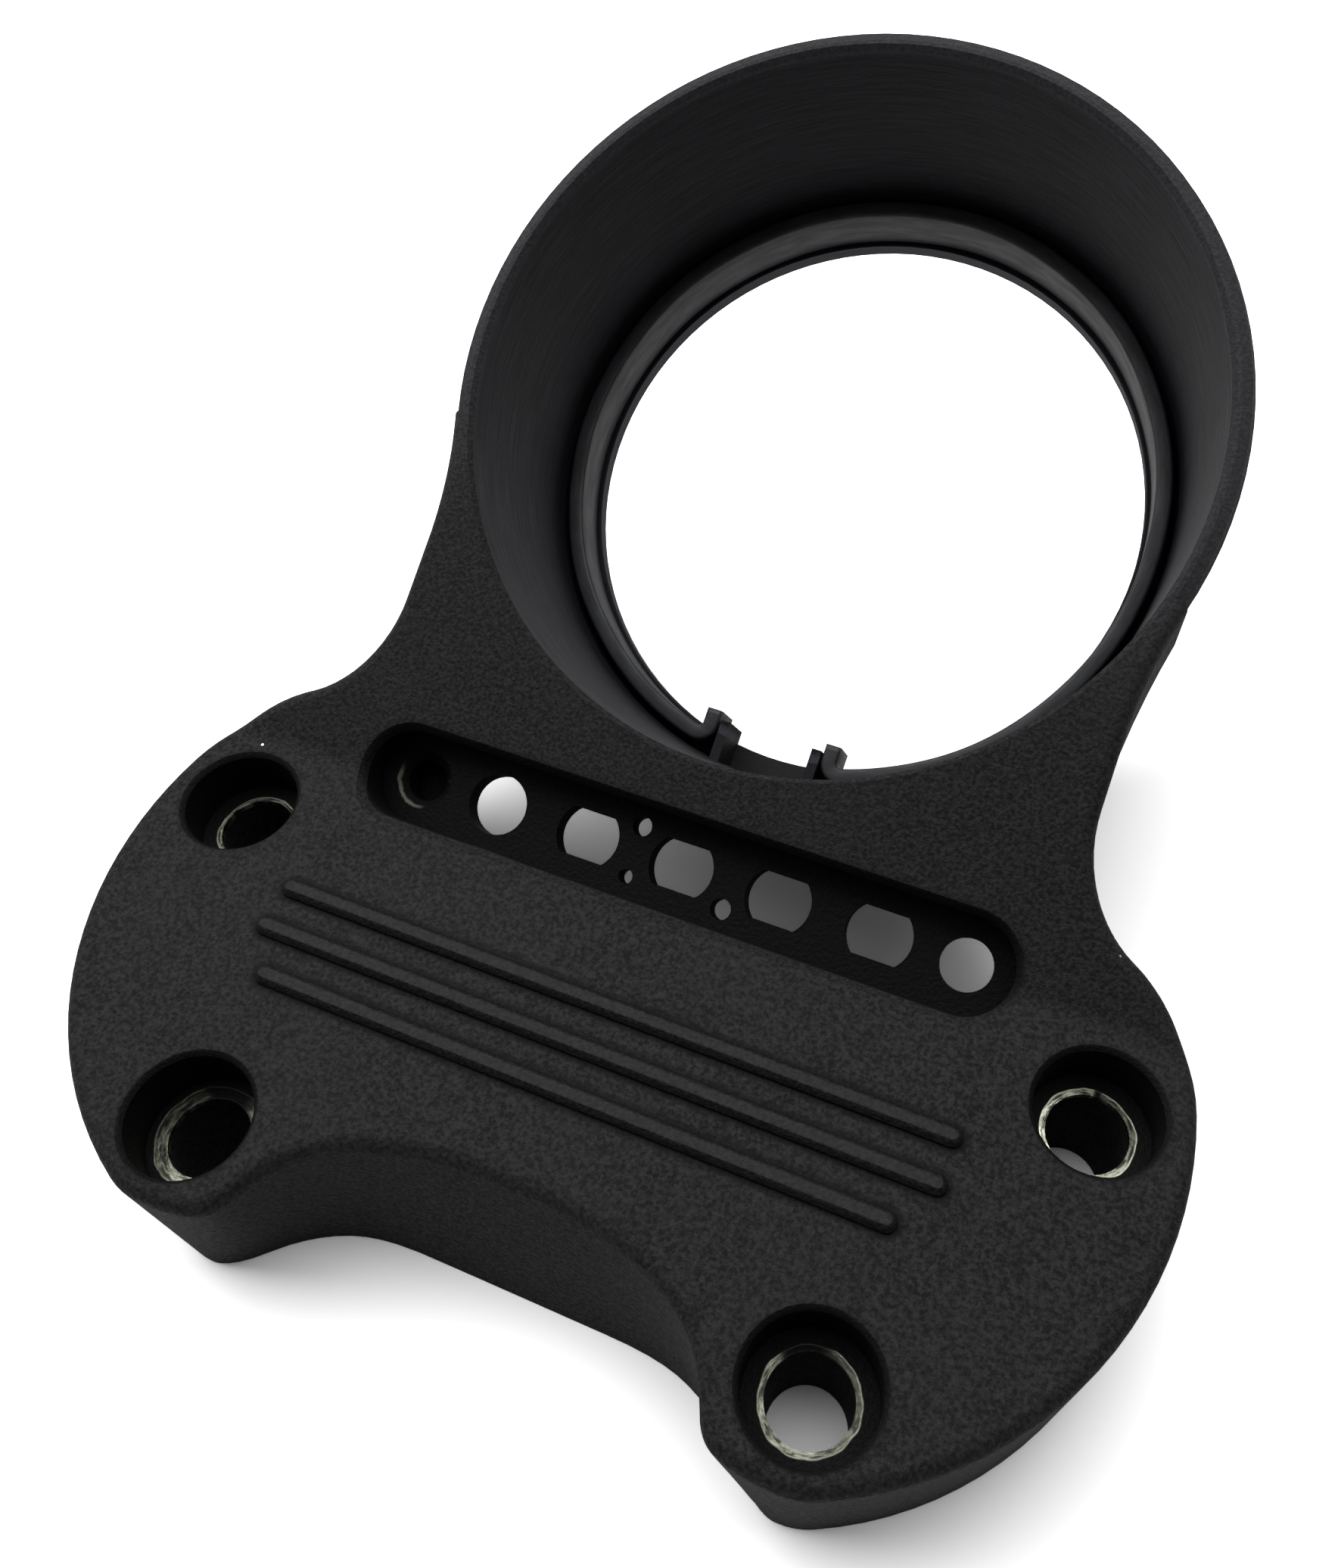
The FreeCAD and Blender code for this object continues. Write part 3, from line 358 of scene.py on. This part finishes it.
def seat_wear(graph, place):
    """The bare ring on each bolt seat, how bright its metal is with its painted highlight, and painted shade inside
    each counterbore and over its mouth.
    """
    apart = graph.split(place)
    level = graph.millimetres(apart[2])
    uneven = graph.noise(place, UNEVEN_SCALE, 1.0)
    bare, metal_and_highlight, nearest = 0.0, 0.0, FAR_AWAY
    for number, ((x, y), outer, gap_turn, gap_half, shine, weakest_highlight_turn) in enumerate(SEATS):
        across = graph.millimetres(apart[0], x)
        along = graph.millimetres(apart[1], y)
        radius = graph.length(across, along)
        turn = graph.math("ARCTAN2", across, along)

        edge = graph.math("MULTIPLY_ADD", uneven, RING_UNEVEN, radius)
        limit = outer + RING_UNEVEN / 2
        ring = graph.step(edge, limit + RING_SOFT, limit - RING_SOFT)
        line = graph.band(edge, limit - LINE_WIDTH, limit, LINE_SOFT)

        away = graph.math("ABSOLUTE", graph.math("SUBTRACT", turn, gap_turn))
        away = graph.math("MULTIPLY_ADD", uneven, GAP_UNEVEN, away)
        gap = gap_half + GAP_UNEVEN / 2
        soft = GAP_SOFT + GAP_SOFT_SHARE * gap_half
        kept = graph.step(away, gap - soft, gap + soft)
        kept = graph.largest(kept, graph.math("MULTIPLY", line, LINE_IN_GAP))
        ring = graph.math("MULTIPLY", ring, kept)

        run = graph.join(radius, turn, SEAT_NOISE_SHIFT * number)
        # Bare metal with painted highlight: each ring's brightness and its dim side follow where light falls, with
        # streaks in the metal
        streak = graph.ramp(graph.noise(run, STREAK_SCALE, 4.0, 0.65), *STREAK_RANGE, STREAK_LOW, shine)
        highlight_side = graph.math("COSINE", graph.math("SUBTRACT", turn, weakest_highlight_turn))
        streak = graph.math("MULTIPLY", streak, graph.ramp(highlight_side, 1.0, -0.6, WEAKEST_HIGHLIGHT, 1.0))
        streak = graph.largest(streak, graph.math("MULTIPLY", line, LINE_SHINE * shine))

        bare = graph.largest(bare, ring)
        metal_and_highlight = graph.largest(metal_and_highlight, graph.math("MULTIPLY", ring, streak))
        nearest = graph.math("MINIMUM", nearest, radius)
    bare = graph.math("MULTIPLY", bare, graph.band(level, *SEAT_BAND))
    # Painted shade inside each counterbore, reaching up over the bevel at its mouth
    pit_shade = graph.product(
        graph.step(nearest, *PIT_OUTER), graph.step(level, *PIT_LEVEL), graph.step(nearest, *PIT_INNER))
    return bare, metal_and_highlight, pit_shade


def chips(graph, place, ragged):
    """Chipped spots, as a share from 0 to 1."""
    marks = []
    for spot, size in CHIPS:
        reach = graph.millimetres(graph.vector("DISTANCE", place, Vector(spot) * MM))
        reach = graph.math("MULTIPLY_ADD", ragged, CHIP_RAGGED * size, reach)
        marks.append(graph.step(reach, CHIP_EDGE[0] * size, CHIP_EDGE[1] * size))
    return graph.largest(*marks)


def worn_countersink(graph, place, ragged):
    """Rubbed lower left edge of the blind screw hole, as a share from 0 to 1."""
    across, along, depth = tilted_place(graph, place, BEND_MIDDLE)
    across = graph.math("SUBTRACT", across, TAP_X)
    along = graph.math("SUBTRACT", along, SLOT_REACH)
    radius = graph.math("MULTIPLY_ADD", ragged, TAP_RAGGED, graph.length(across, along))
    side = graph.step(graph.math("ADD", across, along), *TAP_SIDE)
    return graph.product(graph.band(radius, *TAP_BAND), graph.band(depth, *TAP_DEPTH), side)


def slot_painted_shade(graph, place):
    """Painted shade inside the lamp slot and over its soft edge, as a share from 0 to 1."""
    across, along, depth = tilted_place(graph, place, BEND_MIDDLE)
    beyond = graph.math("ADD", graph.math("ABSOLUTE", across), TAP_X)
    along = graph.math("SUBTRACT", along, SLOT_REACH)
    away = graph.length(graph.largest(beyond, 0.0), along)
    return graph.product(graph.step(away, *SLOT_EDGE), graph.step(depth, *SLOT_LEVEL))


def rib_shade(graph, place):
    """Painted highlight on the crests of the ribs and painted shade at their feet, as shares from 0 to 1."""
    apart = graph.split(place)
    side = graph.math("ABSOLUTE", apart[0])
    nearest = FAR_AWAY
    for y, half in RIBS:
        beyond = graph.largest(graph.millimetres(side, half - RIB_HALF), 0.0)
        along = graph.millimetres(apart[1], y)
        nearest = graph.math("MINIMUM", nearest, graph.length(beyond, along))
    top = graph.step(graph.millimetres(apart[2]), *RIB_LEVEL)
    crest_highlight = graph.math("MULTIPLY", graph.step(nearest, *RIB_CREST), top)
    foot_shade = graph.math("MULTIPLY", graph.band(nearest, *RIB_FOOT), top)
    return crest_highlight, foot_shade


def coat_material():
    """Black wrinkle coat on the casting, with bare worn seats, turned marks in the cup and small chips, and painted
    shade and painted light in its hollows and on its edges.
    """
    g = Graph("wrinkle_coat")
    place = g.node("TexCoord").outputs["Object"]
    wrinkle = g.noise(place, WRINKLE_SCALE, 2.0, 0.60)
    ragged = g.noise(place, RAGGED_SCALE, 3.0, 0.6)
    tone = g.noise(place, TONE_SCALE, 3.0)

    # Where each kind of wear, painted highlight and painted shade lies
    seat, metal_and_highlight, pit_shade = seat_wear(g, place)
    chipped = chips(g, place, ragged)
    worn = g.math("MULTIPLY", worn_countersink(g, place, ragged), WORN_SHARE)
    bare = g.largest(seat, chipped, worn)
    crest_highlight, foot_shade = rib_shade(g, place)
    # Painted shade: the counterbores, the lamp slot and the feet of the ribs
    painted_shade = g.largest(pit_shade, slot_painted_shade(g, place), g.math("MULTIPLY", foot_shade, FOOT_SHADE_SHARE))

    # Where the cup's turned wall, its lip and the sill at its near side (both with painted light), and the lighter
    # inner edge of the rim's far half lie
    radius, depth, turn = cup_place(g, place)
    from_far_side = g.math("ABSOLUTE", turn)
    wall = g.product(
        g.step(radius, *WALL_OUTER), g.step(depth, *WALL_TOP), g.step(depth, *WALL_BOTTOM), g.step(radius, *WALL_INNER))
    lip = g.math("MULTIPLY", g.step(radius, *LIP_EDGE), wall)
    sill = g.product(g.step(from_far_side, *SILL_TURN), wall, g.step(depth, *SILL_DEPTH))
    land = g.product(
        g.step(radius, *LAND_RADIUS), g.step(depth, *LAND_DEPTH), g.step(from_far_side, *LAND_TURN))
    marks = g.noise(g.join(g.math("MULTIPLY", turn, TURNED_STRETCH), depth), TURNED_SCALE, 4.0, 0.65)

    coat = g.blend(g.step(tone, *NOISE_RANGE), COAT_DARK, COAT_LIGHT)
    coat = g.blend(g.ramp(wrinkle, *WRINKLE_RANGE, 0.0, 1.0), coat, WRINKLE_TOP)
    # Painted highlight on the rib crests
    coat = g.blend(g.math("MULTIPLY", crest_highlight, CREST_HIGHLIGHT_SHARE), coat, RIB_CREST_HIGHLIGHT)
    # Painted shade in the hollows
    coat = g.blend(painted_shade, coat, PAINTED_SHADE_BLACK)
    coat = g.blend(wall, coat, g.blend(g.step(marks, *TURNED_RANGE), TURNED_DARK, TURNED_LIGHT))
    # Painted light on the lip
    coat = g.blend(lip, coat, LIP_PAINTED_LIGHT)
    # Painted light over the shaded near wall between the lugs
    coat = g.blend(sill, coat, SILL_PAINTED_LIGHT)
    coat = g.blend(land, coat, g.blend(g.step(wrinkle, *NOISE_RANGE), LAND_DARK, LAND_LIGHT))
    metal = g.blend(g.largest(metal_and_highlight, chipped, worn), METAL_DULL, METAL_BRIGHT)
    colour = g.blend(bare, coat, metal)

    rough = g.ramp(wrinkle, *NOISE_RANGE, *COAT_ROUGH)
    rough = g.shade(wall, rough, g.ramp(marks, *NOISE_RANGE, *TURNED_ROUGH))
    rough = g.shade(bare, rough, g.ramp(ragged, *NOISE_RANGE, *METAL_ROUGH))
    turned = g.math("MULTIPLY_ADD", wrinkle, 0.4, g.math("MULTIPLY", marks, 0.25))
    height = g.shade(wall, wrinkle, turned)
    height = g.shade(bare, height, g.math("MULTIPLY", ragged, 0.5))
    shader = g.node("BsdfPrincipled", {
        "Base Color": colour, "Roughness": rough, "Metallic": bare, "Normal": g.bump(height, *COAT_RELIEF)})
    shader.inputs["Specular IOR Level"].default_value = COAT_SPECULAR
    return g.finish(shader.outputs[0])


def gasket_material():
    """Dark smooth rubber with a faint bloom and rubbed streaks along its run."""
    g = Graph("gasket_rubber")
    place = g.node("TexCoord").outputs["Object"]
    radius, depth, turn = cup_place(g, place)
    run = g.join(g.math("MULTIPLY", turn, GASKET_STRETCH), depth, radius)
    streak = g.noise(run, GASKET_STREAK_SCALE, 4.0, 0.6)
    speck = g.noise(place, SPECK_SCALE)
    colour = g.blend(g.step(streak, *GASKET_RANGE), RUBBER_DARK, RUBBER_LIGHT)
    rough = g.ramp(streak, *NOISE_RANGE, *RUBBER_ROUGH)
    height = g.math("ADD", g.math("MULTIPLY", streak, 0.7), g.math("MULTIPLY", speck, 0.3))
    normal = g.bump(height, *RUBBER_RELIEF)
    shader = g.node("BsdfPrincipled", {"Base Color": colour, "Roughness": rough, "Normal": normal})
    shader.inputs["Specular IOR Level"].default_value = RUBBER_SPECULAR
    return g.finish(shader.outputs[0])


def floor_material():
    """White paper that burns out to white in the picture where it is lit and keeps the shadow near the part."""
    g = Graph("white_paper")
    seen = g.node("LightPath").outputs["Is Camera Ray"]
    place = g.node("TexCoord").outputs["Object"]
    paper = g.blend(g.noise(place, PAPER_SCALE), PAPER_DARK, PAPER_LIGHT)
    diffuse = g.node("BsdfDiffuse", {"Color": g.blend(seen, paper, PAPER_IN_PICTURE)})
    far = g.step(g.vector("DISTANCE", place, (0, 0, 0)), *FAR_GLOW)
    glow = g.node("Emission", {"Strength": g.math("MULTIPLY", seen, g.largest(far, NEAR_GLOW))})
    both = g.node("AddShader", {0: diffuse.outputs[0], 1: glow.outputs[0]})
    return g.finish(both.outputs[0])


def gasket_path():
    """Points along the strip's middle line in the cup's plane, each with the outward direction, in millimetres."""
    centre_x = GASKET_END_X + GASKET_CORNER
    centre_y = math.sqrt((GASKET_MIDDLE - GASKET_CORNER) ** 2 - centre_x ** 2)
    bend = math.atan2(centre_x, centre_y)
    right = []
    for i in range(END_POINTS):
        y = -GASKET_END_REACH - (centre_y - GASKET_END_REACH) * i / END_POINTS
        right.append(((GASKET_END_X, y), (-1, 0)))
    for i in range(CORNER_STEPS + 1):
        angle = math.pi + (math.pi / 2 + bend) * i / CORNER_STEPS
        away = (math.cos(angle), math.sin(angle))
        right.append(((centre_x + GASKET_CORNER * away[0], -centre_y + GASKET_CORNER * away[1]), away))
    ring = []
    for i in range(1, RING_STEPS):
        angle = -math.pi / 2 + bend + 2 * (math.pi - bend) * i / RING_STEPS
        away = (math.cos(angle), math.sin(angle))
        ring.append(((GASKET_MIDDLE * away[0], GASKET_MIDDLE * away[1]), away))
    left = [((-x, y), (-a, b)) for (x, y), (a, b) in reversed(right)]
    return right + ring + left


def gasket_profile(height):
    """The strip's rounded section, as distances outwards and upwards in millimetres."""
    side = GASKET_GAUGE / 2 - GASKET_ROUNDING
    top = height - GASKET_ROUNDING
    points = []
    for corner, (x, y) in enumerate(((side, top), (-side, top), (-side, GASKET_ROUNDING), (side, GASKET_ROUNDING))):
        for k in range(ROUND_POINTS):
            angle = math.pi / 2 * (corner + k / (ROUND_POINTS - 1))
            points.append((x + GASKET_ROUNDING * math.cos(angle), y + GASKET_ROUNDING * math.sin(angle)))
    return points


def gasket_piece(material):
    """The strip as a swept rounded bar that waves a little along its run."""
    height = LEDGE_DEPTH - GASKET_TOP - GASKET_CLEARANCE
    profile = gasket_profile(height)
    mesh = bmesh.new()
    loops = []
    for (x, y), (away_x, away_y) in gasket_path():
        turn = math.atan2(x, y)
        shift = sum(size * math.sin(count * turn + start) for size, count, start in SIDE_WAVES)
        rise = sum(size * math.sin(count * turn + start) for size, count, start in RISE_WAVES)
        loop = []
        for out, up in profile:
            reach = out + shift
            top = up * (1 + (rise - GASKET_CLEARANCE) / height)
            across = Vector((x + away_x * reach, 0, 0))
            along = CUP_UP * (y + away_y * reach)
            down = CUP_AXIS * (LEDGE_DEPTH - GASKET_LIFT - top)
            loop.append(mesh.verts.new(RIM_CENTRE + (across + along - down) * MM))
        loops.append(loop)
    for a, b in zip(loops, loops[1:]):
        for k in range(len(profile)):
            n = (k + 1) % len(profile)
            mesh.faces.new((a[k], a[n], b[n], b[k]))
    mesh.faces.new(loops[0])
    mesh.faces.new(reversed(loops[-1]))
    bmesh.ops.recalc_face_normals(mesh, faces=mesh.faces)
    data = bpy.data.meshes.new("gasket_strip")
    mesh.to_mesh(data)
    mesh.free()
    for face in data.polygons:
        face.use_smooth = len(face.vertices) == 4
    data.materials.append(material)
    return add_object("gasket_strip", data)


def add_object(name, data):
    made = bpy.data.objects.new(name, data)
    bpy.context.scene.collection.objects.link(made)
    return made


def paper_floor():
    """A wide sheet just under the part."""
    half = FLOOR_HALF
    mesh = bpy.data.meshes.new("floor")
    mesh.from_pydata([(-half, -half, 0), (half, -half, 0), (half, half, 0), (-half, half, 0)], [], [(0, 1, 2, 3)])
    mesh.materials.append(floor_material())
    sheet = add_object("floor", mesh)
    sheet.location.z = -FLOOR_DROP
    return sheet


def area_light(name, place, target, size, power):
    data = bpy.data.lights.new(name, "AREA")
    data.shape = "RECTANGLE"
    data.size, data.size_y = size
    data.energy = power
    lamp = add_object(name, data)
    lamp.location = place
    lamp.rotation_mode = "QUATERNION"
    lamp.rotation_quaternion = (Vector(target) - Vector(place)).to_track_quat("-Z", "Y")


def white_world():
    """White behind the part in the picture, and a weak even light on it."""
    world = bpy.data.worlds.new("studio")
    bpy.context.scene.world = world
    world.use_nodes = True
    tree = world.node_tree
    back = tree.nodes["Background"]
    back.inputs["Color"].default_value = (1, 1, 1, 1)
    strength = tree.nodes.new("ShaderNodeMapRange")
    strength.inputs["To Min"].default_value = WORLD_LIGHT
    strength.inputs["To Max"].default_value = 1.0
    seen = tree.nodes.new("ShaderNodeLightPath").outputs["Is Camera Ray"]
    tree.links.new(seen, strength.inputs["Value"])
    tree.links.new(strength.outputs[0], back.inputs["Strength"])


def photo_camera():
    data = bpy.data.cameras.new("photo_camera")
    data.sensor_fit = "VERTICAL"
    data.sensor_height = CAMERA_SENSOR
    data.lens = CAMERA_LENS
    data.shift_x, data.shift_y = CAMERA_SHIFT
    data.clip_start = CAMERA_NEAR
    camera = add_object("photo_camera", data)
    camera.matrix_world = CAMERA_PLACE
    bpy.context.scene.camera = camera


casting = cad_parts["bracket_casting"]
coat = coat_material()
for slot in casting.material_slots:
    slot.material = coat

strip = gasket_piece(gasket_material())
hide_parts("gauge_gasket")
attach(strip, "root")

floor = paper_floor()

for light in LIGHTS:
    area_light(*light)
white_world()
photo_camera()
bpy.context.scene.view_settings.view_transform = "Standard"
